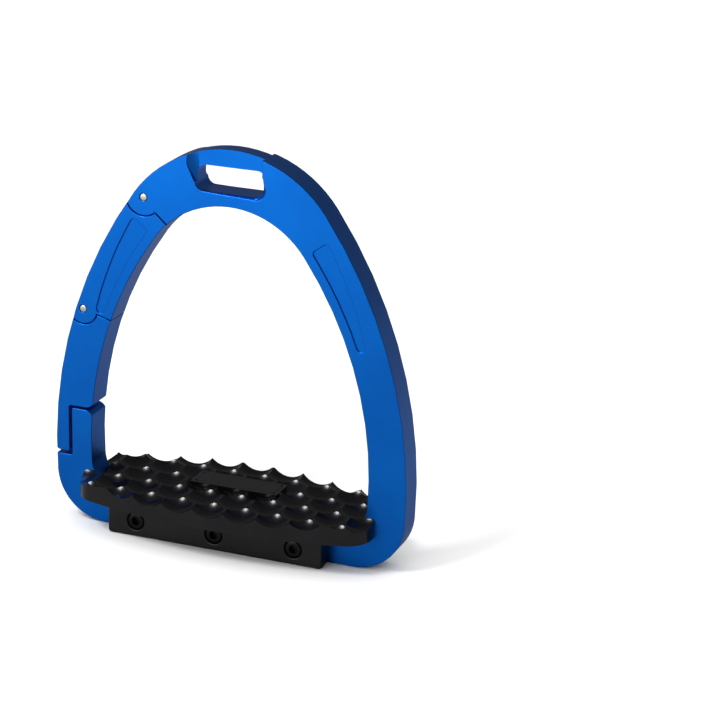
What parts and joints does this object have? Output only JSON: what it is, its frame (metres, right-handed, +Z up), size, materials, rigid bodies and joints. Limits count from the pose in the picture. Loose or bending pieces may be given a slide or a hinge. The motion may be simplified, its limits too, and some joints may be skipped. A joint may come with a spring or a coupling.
{
  "type": "stirrup iron",
  "caption": "Safety stirrup iron with a double-hinged outer arm, a magnetic catch, clamping rails and a studded tread plate.",
  "frame": {"origin": "middle of the underside of the base bar", "axes": "+Z up along the iron, towards the leather slot; +X towards the solid arm, away from the hinged arm; -Y is the front, where the hinge pins show"},
  "size_m": [0.1532, 0.0526, 0.1642],
  "materials": {
    "blue_anodised": "bead-blasted and anodised blue",
    "black_anodised": "bead-blasted and anodised black",
    "stainless_steel": "ground stainless",
    "black_oxide_steel": "black oxide",
    "sintered_bronze": "sintered and oiled",
    "nickel_plate": "nickel plated"
  },
  "bodies": {
    "frame": {"frame": "blue_anodised", "upper_hinge_pin": "stainless_steel", "stub_magnet_1": "nickel_plate", "stub_magnet_2": "nickel_plate", "front_rail": "black_anodised", "rear_rail": "black_anodised", "front_rail_screw_1": "black_oxide_steel", "front_rail_screw_2": "black_oxide_steel", "front_rail_screw_3": "black_oxide_steel", "rear_rail_screw_1": "black_oxide_steel", "rear_rail_screw_2": "black_oxide_steel", "rear_rail_screw_3": "black_oxide_steel", "front_plate_screw_1": "black_oxide_steel", "front_plate_screw_2": "black_oxide_steel", "rear_plate_screw_1": "black_oxide_steel", "rear_plate_screw_2": "black_oxide_steel", "tread_plate": "black_anodised", "badge_plate": "black_anodised"},
    "upper_link": {"upper_link": "blue_anodised", "upper_hinge_bush": "sintered_bronze", "lower_hinge_pin": "stainless_steel"},
    "lower_link": {"lower_link": "blue_anodised", "lower_hinge_bush": "sintered_bronze", "link_magnet_1": "nickel_plate", "link_magnet_2": "nickel_plate"}
  },
  "joints": [
    {"name": "upper_hinge", "type": "hinge", "parent": "frame", "child": "upper_link", "pos_m": [-0.03661, 0, 0.1415], "axis": [0, 1, 0], "range_deg": [0, 75]},
    {"name": "lower_hinge", "type": "hinge", "parent": "upper_link", "child": "lower_link", "pos_m": [-0.06369, 0, 0.0917], "axis": [0, 1, 0], "range_deg": [0, 60]}
  ]
}
